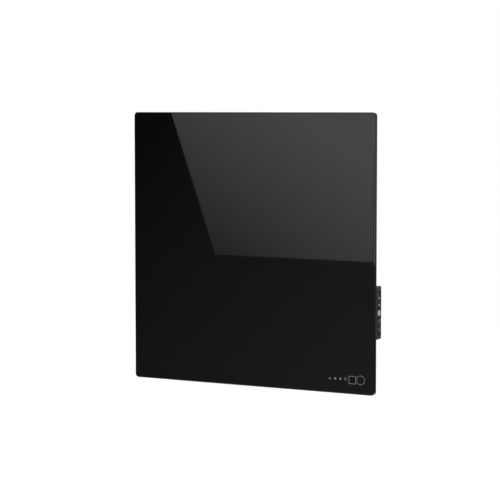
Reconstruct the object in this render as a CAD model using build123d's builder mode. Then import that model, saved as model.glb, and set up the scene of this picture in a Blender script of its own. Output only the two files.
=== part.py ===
from build123d import *
import math
import os

# A square infrared panel heater for a wall: a toughened glass front on a shallow steel tray, a
# control box behind the right edge, and two wall rails with studs that the heater hangs on.
# Frame: the wall is y = 0 and the room lies towards -Y; x = 0 and z = 0 are the panel's centre.
# Sketches on Plane.XZ.offset(out) stand that far out from the wall, and a positive extrusion
# goes on into the room, so most depths below are distances out from the wall.

# ---- panel ----
panel_width = 600.0
panel_height = 600.0
panel_corner = 8.0
wall_gap = 25.0               # wall to the back of the tray
glass_thick = 6.0
glass_front_round = 2.0
glass_back_bevel = 0.8
bond_thick = 0.5              # silicone between the glass and the tray's rim
bond_width = 11.0
tray_depth = 5.5
tray_inset = 0.3              # the tray's rim lies this far inside the glass
tray_bend = 1.6               # outside radius of the tray's folded edge
sheet = 1.0
rim_width = 12.0
film_thick = 0.4
film_margin = 20.0
busbar_width = 8.0
busbar_thick = 0.3
board_margin = 30.0
board_corner = 6.0

# ---- pressed beads in the tray's back ----
bead_height = 1.6
bead_width = 12.0
bead_slope = 35.0
bead_rail_gap = 22.0          # between a cross bead and the hanger rails
cross_bead_pitch = 66.0
cross_bead_count = 7
side_bead_length = 420.0
short_bead_length = 200.0
side_bead_inset = 55.0        # from the panel's side to a side bead

# ---- hanger rails on the tray, and the wall rails that they hang on ----
rail_box_gap = 10.0           # between a hanger rail and the control box
rail_length = 430.0
rail_web = 40.0
rail_flange = 15.0
rail_sheet = 1.5
rail_bend = 3.0
rail_corner = 4.0
wall_rail_overhang = 40.0     # beyond the middle of each hanger rail
wall_rail_height = 44.0
wall_rail_thick = 2.0
wall_rail_corner = 6.0
hang_gap = 0.3                # between a hanger rail and what it slides past
stud_z = 180.0
stud_shoulder_r = 3.8
stud_head_r = 6.5
stud_head_thick = 2.0
stud_tail_r = 3.0
lift_off = 14.0               # how far the heater lifts to come off its studs
keyhole_gap = 0.2
keyhole_entry_gap = 0.6
wall_screw_x = 90.0
wall_screw_r = 3.0

# ---- blind rivets ----
rivet_r = 2.0
rivet_head_r = 3.8
rivet_head_thick = 1.3
rivet_tail_r = 3.1
rivet_tail_length = 2.2
rivet_gap = 0.05
rivet_pocket_gap = 0.6
rail_rivet_z = (-195.0, -65.0, 65.0, 195.0)

# ---- control box ----
box_width = 95.0
box_height = 113.8
box_top_z = -68.0
box_wall_gap = 1.5            # wall to the back of the box
box_wall = 2.0
box_corner = 3.0
box_back_round = 2.5
base_thick = 2.0
base_gap = 0.4
base_rivet_left = 21.0
base_rivet_right = 4.0        # in from the main board's right edge
base_rivet_rise = 18.0        # above and below the box's middle
pillar_r = 3.6
pillar_top_out = 13.0
pillar_x_left = 9.0
pillar_x_right = 19.0
pillar_z_inset = 7.5
cover_screw_r = 1.45
cover_screw_head_r = 2.8
cover_screw_head = 1.9
cover_screw_reach = 5.0
screw_gap = 0.1
counterbore_gap = 0.3
vent_width = 2.0
vent_length = 13.0
vent_pitch = 5.0
vent_count = 6

# ---- control strip on the box's side ----
control_out = 13.0            # line of the controls, out from the wall
strip_top_gap = 9.5           # from the box's top to the strip
strip_bottom_gap = 8.0
strip_width = 17.2
strip_recess = 0.2
strip_lip = 0.4
strip_lip_end = 1.6
strip_lip_thick = 1.2
strip_gap = 0.15
strip_corner = 1.2

bezel_top_gap = 1.2           # from the strip's top to the bezel
bezel_length = 21.4
bezel_width = 15.0
bezel_thick = 1.4
bezel_seat = 0.9
bezel_corner = 1.2
switch_length = 19.0
switch_width = 13.0
switch_depth = 17.0
switch_corner = 0.6
cavity_length = 17.6
cavity_width = 11.4
cavity_depth = 9.4
pivot_depth = 5.3             # from the bezel's face to the rocker's pivot
rocker_length = 16.0
rocker_width = 10.9
rocker_rise = 4.6             # pivot to the two high ends of the rocker's face
rocker_dish = 0.8
rocker_drop = 2.4
rocker_foot = 9.0
rocker_tilt = 7.0             # each way from the middle
trunnion_r = 1.0
trunnion_gap = 0.06
trunnion_length = 0.65
tab_width = 4.8
tab_thick = 0.8
tab_length = 6.5
tab_pitch = 6.0

button_names = ("menu", "mode", "plus", "minus")
bezel_button_gap = 1.1        # from the bezel to the first button
button_spread = 0.7885        # first to last button, of the strip below the first
button_r = 6.4
button_gap = 0.2
button_proud = 0.5
button_dome = 0.5
button_flange_lip = 0.6       # how far the flange stands out round the button
button_flange_thick = 1.0
button_flange_gap = 0.2
button_wall = 1.2
button_stem_r = 1.6
button_stem_length = 1.2
button_travel = 1.0
tact_size = 6.0
tact_height = 3.0
tact_stand = 1.2              # plunger above the switch
plunger_r = 1.7
plunger_length = 2.4
plunger_gap = 0.1
small_board_thick = 1.6
small_board_width = 17.0
small_board_above = 6.2       # beyond the middle of the first button
small_board_below = 11.0      # beyond the middle of the last button
post_r = 2.0
post_y = 6.6
post_screw_r = 0.95
post_screw_head_r = 1.9
post_screw_head = 1.2
post_screw_reach = 4.0

# ---- main board and what stands on it ----
board_thick = 1.6
board_stand = 4.0
board_right_gap = 5.0         # between the main board and the thermal cut-out
board_left = 7.0              # from the inside of the box's left wall
board_top_gap = 12.0
board_bottom_gap = 11.5
board_boss_r = 2.9
board_boss_inset = 4.0
board_screw_r = 1.2
board_screw_head_r = 2.2
board_screw_head = 1.4
board_screw_reach = 3.5
fuse_r = 2.6
fuse_length = 20.0
fuse_right = 0.22             # from the board's middle, as a share of its width
fuse_up = -3.5
terminal_pole = 8.0
terminal_depth = 10.0
terminal_tall = 11.0
terminal_well_r = 2.3
terminal_well_depth = 3.0
terminal_wire_r = 1.9
terminal_wire_depth = 6.0
terminal_wire_rise = 3.4      # board to the middle of a wire hole

# ---- inlet gland ----
gland_from_left = 35.0
gland_thread_r = 6.0
gland_thread_length = 8.0
gland_hole_gap = 0.15
gland_hex_r = 8.6
gland_hex_length = 5.0
gland_wire_r = 4.3
gland_seal_r = 5.0
gland_seal_length = 8.0
gland_cord_r = 3.6
gland_cap_r = 7.4
gland_cap_wall = 1.6
gland_cap_length = 9.0
gland_cap_mouth_r = 4.2
gland_nut_r = 8.4
gland_nut_thick = 3.0
gland_neck_r = 5.6
gland_neck_length = 5.5
gland_fit = 0.1

# ---- on the tray, inside the box ----
inner_from_right = 23.0       # from the box's side to the line of these parts
grommet_drop = 0.7137         # below the box's top, as a share of its height
grommet_hole_r = 5.0
grommet_r = 6.4
grommet_bore_r = 2.7
grommet_flange = 1.4
grommet_gap = 0.05
cutout_drop = 0.4846
cutout_cup_r = 8.0
cutout_cup_height = 4.0
cutout_body_r = 7.2
cutout_body_height = 5.0
cutout_tab_width = 6.3
cutout_tab_height = 6.0
cutout_tab_pitch = 7.0
earth_drop = 0.8546
earth_stud_r = 2.0
earth_stud_length = 12.0
earth_washer_r = 4.5
earth_washer_thick = 0.8
earth_nut_r = 4.04
earth_nut_thick = 3.2
earth_fit = 0.05
window_gap = 1.2              # base plate round what stands on the tray

# ---- places worked out from the sizes above ----
glass_back = wall_gap + tray_depth + bond_thick
film_back = glass_back - film_thick
film_width = panel_width - 2 * film_margin
film_height = panel_height - 2 * film_margin
tray_width = panel_width - 2 * tray_inset
tray_height = panel_height - 2 * tray_inset
tray_floor = wall_gap + sheet
box_right = panel_width / 2
box_left = box_right - box_width
rail_face = wall_rail_thick + hang_gap
rail_half = rail_web / 2 + rail_flange
rail_x = box_left - rail_box_gap - rail_half
wall_rail_length = 2 * (rail_x + wall_rail_overhang)
cross_bead_length = 2 * (rail_x - rail_half - bead_rail_gap)
side_bead_x = panel_width / 2 - side_bead_inset
rail_rivet_x = [
    side * rail_x + flange * (rail_web + rail_flange) / 2 for side in (-1, 1) for flange in (-1, 1)
]
rail_rivet_points = [(x, z) for x in rail_rivet_x for z in rail_rivet_z]

box_bottom_z = box_top_z - box_height
box_mid_x = (box_left + box_right) / 2
box_mid_z = (box_top_z + box_bottom_z) / 2
cover_inner_back = box_wall_gap + box_wall
base_top = wall_gap - base_thick
pillar_points = [
    (x, z)
    for x in (box_left + pillar_x_left, box_right - pillar_x_right)
    for z in (box_bottom_z + pillar_z_inset, box_top_z - pillar_z_inset)
]
gland_x = box_left + gland_from_left
inner_x = box_right - inner_from_right
grommet_z = box_top_z - grommet_drop * box_height
cutout_z = box_top_z - cutout_drop * box_height
earth_z = box_top_z - earth_drop * box_height
board_start_x = box_left + box_wall + board_left
board_end_x = inner_x - cutout_cup_r - board_right_gap
base_rivet_points = [
    (x, box_mid_z + side * base_rivet_rise)
    for x in (box_left + base_rivet_left, board_end_x - base_rivet_right)
    for side in (-1, 1)
]
inner_face_x = box_right - box_wall
strip_face_x = box_right - strip_recess
strip_back_x = inner_face_x - strip_lip_thick
strip_top_z = box_top_z - strip_top_gap
strip_bottom_z = box_bottom_z + strip_bottom_gap
strip_mid_z = (strip_top_z + strip_bottom_z) / 2
strip_length = strip_top_z - strip_bottom_z
bezel_face_x = strip_face_x - bezel_seat + bezel_thick
pivot_x = bezel_face_x - pivot_depth
rocker_z = strip_top_z - bezel_top_gap - bezel_length / 2
first_button_z = rocker_z - bezel_length / 2 - bezel_button_gap - button_r
button_pitch = button_spread * (first_button_z - strip_bottom_z) / (len(button_names) - 1)
button_z = [first_button_z - place * button_pitch for place in range(len(button_names))]
button_face_x = strip_face_x + button_proud
flange_face_x = strip_back_x - button_flange_gap
plunger_top_x = flange_face_x - button_flange_thick - button_stem_length
tact_top_x = plunger_top_x - tact_stand
small_board_face_x = tact_top_x - tact_height
small_board_length = button_z[0] - button_z[-1] + small_board_above + small_board_below
small_board_mid_z = button_z[0] + small_board_above - small_board_length / 2
post_z = [(button_z[0] + button_z[1]) / 2, (button_z[2] + button_z[3]) / 2]

board_back = base_top - board_stand
board_face = board_back - board_thick
board_width = board_end_x - board_start_x
board_height = box_height - 2 * box_wall - board_top_gap - board_bottom_gap
board_mid_x = (board_start_x + board_end_x) / 2
board_mid_z = box_top_z - box_wall - board_top_gap - board_height / 2
board_boss_x = board_width / 2 - board_boss_inset
board_boss_z = board_height / 2 - board_boss_inset
board_boss_points = [
    (board_mid_x + side * board_boss_x, board_mid_z + end * board_boss_z)
    for side in (-1, 1)
    for end in (-1, 1)
]

pieces = []


def keep(builder, label):
    builder.part.label = label
    pieces.append(builder.part)


# ---- glass front: polished all round, painted black behind ----
with BuildPart() as front_glass:
    with BuildSketch(Plane.XZ.offset(glass_back)):
        RectangleRounded(panel_width, panel_height, panel_corner)
    extrude(amount=glass_thick)
    fillet(front_glass.edges().group_by(Axis.Y)[0], radius=glass_front_round)
    chamfer(front_glass.edges().group_by(Axis.Y)[-1], length=glass_back_bevel)
keep(front_glass, "front_glass")

# ---- silicone ring that bonds the tray's rim to the glass ----
with BuildPart() as rim_bond:
    with BuildSketch(Plane.XZ.offset(wall_gap + tray_depth)):
        RectangleRounded(tray_width - 2, tray_height - 2, panel_corner - tray_inset)
        RectangleRounded(
            tray_width - 2 * bond_width, tray_height - 2 * bond_width, board_corner, mode=Mode.SUBTRACT
        )
    extrude(amount=bond_thick)
keep(rim_bond, "rim_bond")

# ---- heating film on the back of the glass, with a copper busbar down each side ----
with BuildPart() as heating_film:
    with BuildSketch(Plane.XZ.offset(film_back)):
        Rectangle(film_width, film_height)
    extrude(amount=film_thick)
keep(heating_film, "heating_film")

with BuildPart() as busbars:
    with BuildSketch(Plane.XZ.offset(film_back - busbar_thick)):
        with GridLocations(film_width - busbar_width, 0, 2, 1):
            Rectangle(busbar_width, film_height - busbar_width)
    extrude(amount=busbar_thick)
keep(busbars, "busbars")

# ---- insulation board, with pockets over the tails of the rivets ----
with BuildPart() as insulation_board:
    with BuildSketch(Plane.XZ.offset(tray_floor)):
        RectangleRounded(panel_width - 2 * board_margin, panel_height - 2 * board_margin, board_corner)
    extrude(amount=film_back - tray_floor)
    with BuildSketch(Plane.XZ.offset(tray_floor)):
        with Locations(*rail_rivet_points, *base_rivet_points):
            Circle(rivet_tail_r + rivet_pocket_gap)
    extrude(amount=rivet_tail_length + rivet_pocket_gap, mode=Mode.SUBTRACT)
keep(insulation_board, "insulation_board")


# ---- back tray: folded sheet, a rim turned in towards the glass, pressed beads ----
def bead_outlines(thinner):
    """The outlines of all beads, each side drawn in by thinner."""
    width = bead_width - 2 * thinner
    with GridLocations(0, cross_bead_pitch, 1, cross_bead_count):
        SlotOverall(cross_bead_length - 2 * thinner, width)
    with Locations((-side_bead_x, 0)):
        SlotOverall(side_bead_length - 2 * thinner, width, rotation=90)
    with Locations((side_bead_x, side_bead_length / 2 - short_bead_length / 2)):
        SlotOverall(short_bead_length - 2 * thinner, width, rotation=90)


with BuildPart() as back_tray:
    with BuildSketch(Plane.XZ.offset(wall_gap)):
        RectangleRounded(tray_width, tray_height, panel_corner - tray_inset)
    extrude(amount=tray_depth)
    fillet(back_tray.edges().group_by(Axis.Y)[-1], radius=tray_bend)
    offset(amount=-sheet, openings=back_tray.faces().sort_by(Axis.Y)[0])
    with BuildSketch(Plane.XZ.offset(wall_gap + tray_depth - sheet)):
        RectangleRounded(tray_width - sheet, tray_height - sheet, panel_corner - tray_inset)
        RectangleRounded(
            tray_width - 2 * rim_width, tray_height - 2 * rim_width, board_corner, mode=Mode.SUBTRACT
        )
    extrude(amount=sheet)
    with BuildSketch(Plane.XZ.offset(wall_gap)):
        bead_outlines(0)
    extrude(amount=-bead_height, taper=bead_slope)
    with BuildSketch(Plane.XZ.offset(tray_floor)):
        bead_outlines(sheet * math.tan(math.radians(90 - bead_slope) / 2))
    extrude(amount=-bead_height, taper=bead_slope, mode=Mode.SUBTRACT)
    with BuildSketch(Plane.XZ.offset(wall_gap)):
        with Locations(*rail_rivet_points, *base_rivet_points):
            Circle(rivet_r + rivet_gap)
        with Locations((inner_x, grommet_z)):
            Circle(grommet_hole_r)
    extrude(amount=sheet, mode=Mode.SUBTRACT)
keep(back_tray, "back_tray")


# ---- hanger rails: top-hat sections with two keyholes each ----
def hanger_rail(centre_x):
    with BuildPart() as rail:
        with BuildSketch(Plane.XZ.offset(rail_face)):
            with Locations((centre_x, 0)):
                Rectangle(rail_web, rail_length)
        extrude(amount=wall_gap - rail_face)
        fillet(rail.edges().filter_by(Axis.Z).group_by(Axis.Y)[-1], radius=rail_bend)
        ends = rail.faces().filter_by(Axis.Z)
        offset(amount=-rail_sheet, openings=[*ends, rail.faces().sort_by(Axis.Y)[0]])
        with BuildSketch(Plane.XZ.offset(wall_gap - rail_sheet)):
            for side in (-1, 1):
                with Locations((centre_x + side * (rail_web + rail_flange - rail_sheet) / 2, 0)):
                    Rectangle(rail_flange + rail_sheet, rail_length)
        extrude(amount=rail_sheet)
        corners = rail.edges().filter_by(Axis.Y)
        fillet(corners.group_by(Axis.X)[0] + corners.group_by(Axis.X)[-1], radius=rail_corner)
        with BuildSketch(Plane.XZ.offset(rail_face)):
            for seat_z in (-stud_z, stud_z):
                with Locations((centre_x, seat_z)):
                    Circle(stud_shoulder_r + keyhole_gap)
                with Locations((centre_x, seat_z - lift_off / 2)):
                    Rectangle(2 * (stud_shoulder_r + keyhole_gap), lift_off)
                with Locations((centre_x, seat_z - lift_off)):
                    Circle(stud_head_r + keyhole_entry_gap)
        extrude(amount=rail_sheet, mode=Mode.SUBTRACT)
        with BuildSketch(Plane.XZ.offset(wall_gap - rail_sheet)):
            with Locations(*[point for point in rail_rivet_points if point[0] * centre_x > 0]):
                Circle(rivet_r + rivet_gap)
        extrude(amount=rail_sheet, mode=Mode.SUBTRACT)
    return rail


keep(hanger_rail(-rail_x), "hanger_rail_left")
keep(hanger_rail(rail_x), "hanger_rail_right")


# ---- blind rivets: a head, a shank through both sheets and the upset tail in the tray ----
def blind_rivets(points, seat_out):
    with BuildPart() as rivets:
        with BuildSketch(Plane.XZ.offset(seat_out - rivet_head_thick)):
            with Locations(*points):
                Circle(rivet_head_r)
        extrude(amount=rivet_head_thick)
        chamfer(rivets.edges().group_by(Axis.Y)[-1], length=rivet_head_thick / 2, length2=rivet_head_thick)
        with BuildSketch(Plane.XZ.offset(seat_out)):
            with Locations(*points):
                Circle(rivet_r)
        extrude(amount=tray_floor - seat_out)
        with BuildSketch(Plane.XZ.offset(tray_floor)):
            with Locations(*points):
                Circle(rivet_tail_r)
        extrude(amount=rivet_tail_length)
    return rivets


keep(blind_rivets(rail_rivet_points, wall_gap - rail_sheet), "rail_rivets")
keep(blind_rivets(base_rivet_points, base_top), "base_rivets")


# ---- wall rails: flat steel straps with a round hole for each wall screw ----
def wall_rail(centre_z):
    with BuildPart() as rail:
        with BuildSketch(Plane.XZ):
            with Locations((0, centre_z)):
                RectangleRounded(wall_rail_length, wall_rail_height, wall_rail_corner)
            with Locations((-wall_screw_x, centre_z), (wall_screw_x, centre_z)):
                Circle(wall_screw_r, mode=Mode.SUBTRACT)
            with Locations((-rail_x, centre_z), (rail_x, centre_z)):
                Circle(stud_tail_r, mode=Mode.SUBTRACT)
        extrude(amount=wall_rail_thick)
    return rail


keep(wall_rail(stud_z), "wall_rail_upper")
keep(wall_rail(-stud_z), "wall_rail_lower")

with BuildPart() as hanger_studs:
    for stud_radius, start, length in (
        (stud_tail_r, 0, wall_rail_thick),
        (stud_shoulder_r, wall_rail_thick, rail_sheet + 2 * hang_gap),
        (stud_head_r, wall_rail_thick + rail_sheet + 2 * hang_gap, stud_head_thick),
    ):
        with BuildSketch(Plane.XZ.offset(start)):
            with GridLocations(2 * rail_x, 2 * stud_z, 2, 2):
                Circle(stud_radius)
        extrude(amount=length)
    chamfer(hanger_studs.edges().group_by(Axis.Y)[0], length=stud_head_thick / 4)
keep(hanger_studs, "hanger_studs")

# ---- control box: base plate on the tray ----
with BuildPart() as control_base:
    with BuildSketch(Plane.XZ.offset(base_top)):
        with Locations((box_mid_x, box_mid_z)):
            Rectangle(box_width - 2 * (box_wall + base_gap), box_height - 2 * (box_wall + base_gap))
        with Locations((inner_x, grommet_z)):
            Circle(grommet_r + window_gap, mode=Mode.SUBTRACT)
        with Locations((inner_x, cutout_z)):
            Circle(cutout_cup_r + window_gap, mode=Mode.SUBTRACT)
        with Locations((inner_x, earth_z)):
            Circle(earth_washer_r + window_gap, mode=Mode.SUBTRACT)
        with Locations(*base_rivet_points):
            Circle(rivet_r + rivet_gap, mode=Mode.SUBTRACT)
    extrude(amount=base_thick)
    with BuildSketch(Plane.XZ.offset(board_back)):
        with Locations(*board_boss_points):
            Circle(board_boss_r)
            Circle(board_screw_r + screw_gap, mode=Mode.SUBTRACT)
    extrude(amount=board_stand)
    with BuildSketch(Plane.XZ.offset(pillar_top_out)):
        with Locations(*pillar_points):
            Circle(pillar_r)
            Circle(cover_screw_r + screw_gap, mode=Mode.SUBTRACT)
    extrude(amount=base_top - pillar_top_out)
keep(control_base, "control_base")

# ---- control box: moulded cover ----
with BuildPart() as control_cover:
    with BuildSketch(Plane.XZ.offset(box_wall_gap)):
        with Locations((box_mid_x, box_mid_z)):
            RectangleRounded(box_width, box_height, box_corner)
    extrude(amount=wall_gap - box_wall_gap)
    fillet(control_cover.edges().group_by(Axis.Y)[-1], radius=box_back_round)
    offset(amount=-box_wall, openings=control_cover.faces().sort_by(Axis.Y)[0])
    with BuildSketch(Plane.XZ.offset(cover_inner_back)):
        with Locations(*pillar_points):
            Circle(pillar_r)
    extrude(amount=pillar_top_out - cover_inner_back)
    with BuildSketch(Plane.XZ.offset(box_wall_gap)):
        with Locations(*pillar_points):
            Circle(cover_screw_r + 2 * screw_gap)
    extrude(amount=pillar_top_out - box_wall_gap, mode=Mode.SUBTRACT)
    with BuildSketch(Plane.XZ.offset(box_wall_gap)):
        with Locations(*pillar_points):
            Circle(cover_screw_head_r + counterbore_gap)
    extrude(amount=cover_screw_head + counterbore_gap, mode=Mode.SUBTRACT)
    with BuildSketch(Plane.YZ.offset(box_right)):
        with Locations((-control_out, strip_mid_z)):
            RectangleRounded(strip_width, strip_length, strip_corner)
    extrude(amount=-box_wall, mode=Mode.SUBTRACT)
    with BuildSketch(Plane.XY.offset(box_bottom_z)):
        with Locations((gland_x, -control_out)):
            Circle(gland_thread_r + gland_hole_gap)
    extrude(amount=box_wall, mode=Mode.SUBTRACT)
    for vent_x, face_z in ((box_mid_x + 18, box_bottom_z), (box_mid_x, box_top_z - box_wall)):
        with BuildSketch(Plane.XY.offset(face_z)):
            with Locations((vent_x, -control_out)):
                with GridLocations(vent_pitch, 0, vent_count, 1):
                    SlotOverall(vent_length, vent_width, rotation=90)
        extrude(amount=box_wall, mode=Mode.SUBTRACT)
keep(control_cover, "control_cover")

with BuildPart() as cover_screws:
    with BuildSketch(Plane.XZ.offset(cover_inner_back + counterbore_gap - cover_screw_head)):
        with Locations(*pillar_points):
            Circle(cover_screw_head_r)
    extrude(amount=cover_screw_head - box_wall + cover_screw_head)
    with BuildSketch(Plane.XZ.offset(cover_inner_back)):
        with Locations(*pillar_points):
            Circle(cover_screw_r)
    extrude(amount=pillar_top_out + cover_screw_reach - cover_inner_back)
keep(cover_screws, "cover_screws")

# ---- control strip in the box's side, pushed in from inside up to its lip ----
strip_holes = [(-control_out, z) for z in button_z]
with BuildPart() as control_strip:
    with BuildSketch(Plane.YZ.offset(strip_face_x)):
        with Locations((-control_out, strip_mid_z)):
            RectangleRounded(strip_width - 2 * strip_gap, strip_length - 2 * strip_gap, strip_corner)
    extrude(amount=inner_face_x - strip_face_x)
    with BuildSketch(Plane.YZ.offset(inner_face_x)):
        with Locations((-control_out, strip_mid_z)):
            Rectangle(strip_width + 2 * strip_lip, strip_length + 2 * strip_lip_end)
    extrude(amount=-strip_lip_thick)
    with BuildSketch(Plane.YZ.offset(strip_face_x)):
        with Locations((-control_out, rocker_z)):
            RectangleRounded(bezel_width + 2 * strip_gap, bezel_length + 2 * strip_gap, bezel_corner)
    extrude(amount=-bezel_seat, mode=Mode.SUBTRACT)
    with BuildSketch(Plane.YZ.offset(strip_face_x)):
        with Locations((-control_out, rocker_z)):
            Rectangle(switch_width + 2 * strip_gap, switch_length + 2 * strip_gap)
        with Locations(*strip_holes):
            Circle(button_r + button_gap)
    extrude(amount=strip_back_x - strip_face_x, mode=Mode.SUBTRACT)
    for side in (-1, 1):
        for z in post_z:
            with BuildSketch(Plane.YZ.offset(strip_back_x)):
                with Locations((-control_out + side * post_y, z)):
                    Circle(post_r)
                    Circle(post_screw_r + screw_gap / 2, mode=Mode.SUBTRACT)
            extrude(amount=small_board_face_x - strip_back_x)
keep(control_strip, "control_strip")

# ---- rocker switch: body with its bezel, the rocker on two trunnions, and the tabs ----
with BuildPart() as switch_body:
    with BuildSketch(Plane.YZ.offset(bezel_face_x)):
        with Locations((-control_out, rocker_z)):
            RectangleRounded(bezel_width, bezel_length, bezel_corner)
    extrude(amount=-bezel_thick)
    fillet(switch_body.edges().group_by(Axis.X)[-1], radius=bezel_thick / 3)
    with BuildSketch(Plane.YZ.offset(bezel_face_x - bezel_thick)):
        with Locations((-control_out, rocker_z)):
            RectangleRounded(switch_width, switch_length, switch_corner)
    extrude(amount=-switch_depth)
    with BuildSketch(Plane.YZ.offset(bezel_face_x)):
        with Locations((-control_out, rocker_z)):
            Rectangle(cavity_width, cavity_length)
    extrude(amount=-cavity_depth, mode=Mode.SUBTRACT)
    with BuildSketch(Plane.XZ.offset(control_out - switch_width / 2)):
        with Locations((pivot_x, rocker_z)):
            Circle(trunnion_r + trunnion_gap)
    extrude(amount=switch_width, mode=Mode.SUBTRACT)
keep(switch_body, "switch_body")

tilt = math.radians(rocker_tilt)
rocker_side = Plane(
    origin=(pivot_x, -control_out, rocker_z), x_dir=(-math.sin(tilt), 0, math.cos(tilt)), z_dir=(0, 1, 0)
)
with BuildPart() as rocker:
    with BuildSketch(rocker_side.offset(-rocker_width / 2)):
        with BuildLine():
            ThreePointArc(
                (-rocker_length / 2, rocker_rise),
                (0, rocker_rise - rocker_dish),
                (rocker_length / 2, rocker_rise),
            )
            Polyline(
                (rocker_length / 2, rocker_rise),
                (rocker_length / 2, 0),
                (rocker_foot / 2, -rocker_drop),
                (-rocker_foot / 2, -rocker_drop),
                (-rocker_length / 2, 0),
                (-rocker_length / 2, rocker_rise),
            )
        make_face()
    extrude(amount=rocker_width)
    fillet(rocker.edges().filter_by(GeomType.CIRCLE), radius=rocker_dish / 2)
    with BuildSketch(rocker_side.offset(-rocker_width / 2 - trunnion_length)):
        Circle(trunnion_r)
    extrude(amount=rocker_width + 2 * trunnion_length)
keep(rocker, "rocker")

switch_back_x = bezel_face_x - bezel_thick - switch_depth
with BuildPart() as switch_tabs:
    with BuildSketch(Plane.YZ.offset(switch_back_x)):
        with Locations((-control_out, rocker_z)):
            with GridLocations(0, tab_pitch, 1, 3):
                Rectangle(tab_width, tab_thick)
    extrude(amount=-tab_length)
keep(switch_tabs, "switch_tabs")

# ---- four round buttons, each with the plunger of the switch behind it ----
for name, z in zip(button_names, button_z):
    with BuildPart() as button:
        with BuildSketch(Plane.YZ.offset(flange_face_x)):
            with Locations((-control_out, z)):
                Circle(button_r)
        extrude(amount=button_face_x - flange_face_x)
        fillet(button.edges().group_by(Axis.X)[-1], radius=button_dome)
        with BuildSketch(Plane.YZ.offset(flange_face_x - button_flange_thick)):
            with Locations((-control_out, z)):
                Circle(button_r + button_flange_lip)
        extrude(amount=button_flange_thick)
        with BuildSketch(Plane.YZ.offset(flange_face_x - button_flange_thick)):
            with Locations((-control_out, z)):
                Circle(button_r - button_wall)
        hollow = button_face_x - button_wall - flange_face_x + button_flange_thick
        extrude(amount=hollow, mode=Mode.SUBTRACT)
        with BuildSketch(Plane.YZ.offset(plunger_top_x)):
            with Locations((-control_out, z)):
                Circle(button_stem_r)
        extrude(amount=button_face_x - button_wall - plunger_top_x)
    keep(button, f"{name}_button")
    with BuildPart() as plunger:
        with BuildSketch(Plane.YZ.offset(plunger_top_x)):
            with Locations((-control_out, z)):
                Circle(plunger_r)
        extrude(amount=-plunger_length)
    keep(plunger, f"{name}_plunger")

with BuildPart() as tact_switches:
    with BuildSketch(Plane.YZ.offset(tact_top_x)):
        with Locations(*strip_holes):
            Rectangle(tact_size, tact_size)
    extrude(amount=-tact_height)
    with BuildSketch(Plane.YZ.offset(tact_top_x)):
        with Locations(*strip_holes):
            Circle(plunger_r + plunger_gap)
    extrude(amount=tact_stand - plunger_length - button_travel - plunger_gap, mode=Mode.SUBTRACT)
keep(tact_switches, "tact_switches")

post_points = [(-control_out + side * post_y, z) for side in (-1, 1) for z in post_z]
with BuildPart() as button_board:
    with BuildSketch(Plane.YZ.offset(small_board_face_x)):
        with Locations((-control_out, small_board_mid_z)):
            Rectangle(small_board_width, small_board_length)
        with Locations(*post_points):
            Circle(post_screw_r + screw_gap, mode=Mode.SUBTRACT)
    extrude(amount=-small_board_thick)
keep(button_board, "button_board")

small_board_back_x = small_board_face_x - small_board_thick
with BuildPart() as button_board_screws:
    with BuildSketch(Plane.YZ.offset(small_board_back_x - post_screw_head)):
        with Locations(*post_points):
            Circle(post_screw_head_r)
    extrude(amount=post_screw_head)
    with BuildSketch(Plane.YZ.offset(small_board_back_x)):
        with Locations(*post_points):
            Circle(post_screw_r)
    extrude(amount=small_board_thick + post_screw_reach)
keep(button_board_screws, "button_board_screws")

# ---- main board on the bosses of the base ----
with BuildPart() as main_board:
    with BuildSketch(Plane.XZ.offset(board_face)):
        with Locations((board_mid_x, board_mid_z)):
            Rectangle(board_width, board_height)
        with Locations(*board_boss_points):
            Circle(board_screw_r + screw_gap, mode=Mode.SUBTRACT)
    extrude(amount=board_thick)
keep(main_board, "main_board")

with BuildPart() as board_screws:
    with BuildSketch(Plane.XZ.offset(board_face - board_screw_head)):
        with Locations(*board_boss_points):
            Circle(board_screw_head_r)
    extrude(amount=board_screw_head)
    with BuildSketch(Plane.XZ.offset(board_face)):
        with Locations(*board_boss_points):
            Circle(board_screw_r)
    extrude(amount=board_thick + board_screw_reach)
keep(board_screws, "board_screws")


def board_block(right, up, width, height, tall, rounding):
    """A part on the main board. Right and width are shares of the board's width, from its middle."""
    with BuildPart() as block:
        with BuildSketch(Plane.XZ.offset(board_face - tall)):
            with Locations((board_mid_x + right * board_width, board_mid_z + up)):
                Rectangle(width * board_width, height)
        extrude(amount=tall)
        fillet(block.edges().filter_by(Axis.Y), radius=rounding)
        fillet(block.edges().group_by(Axis.Y)[-1], radius=rounding / 2)
    return block


keep(board_block(-0.21, 19.0, 0.31, 28.0, 12.5, 0.8), "power_relay")
keep(board_block(0.17, 17.0, 0.38, 31.0, 11.0, 0.8), "supply_module")
keep(board_block(-0.21, -3.0, 0.34, 8.0, 11.5, 1.2), "filter_capacitor")
keep(board_block(0.18, -10.8, 0.14, 7.0, 1.6, 0.4), "control_chip")

with BuildPart() as board_fuse:
    with BuildSketch(Plane.YZ.offset(board_mid_x + fuse_right * board_width - fuse_length / 2)):
        with Locations((-board_face + fuse_r, board_mid_z + fuse_up)):
            Circle(fuse_r)
    extrude(amount=fuse_length)
keep(board_fuse, "board_fuse")


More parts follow.
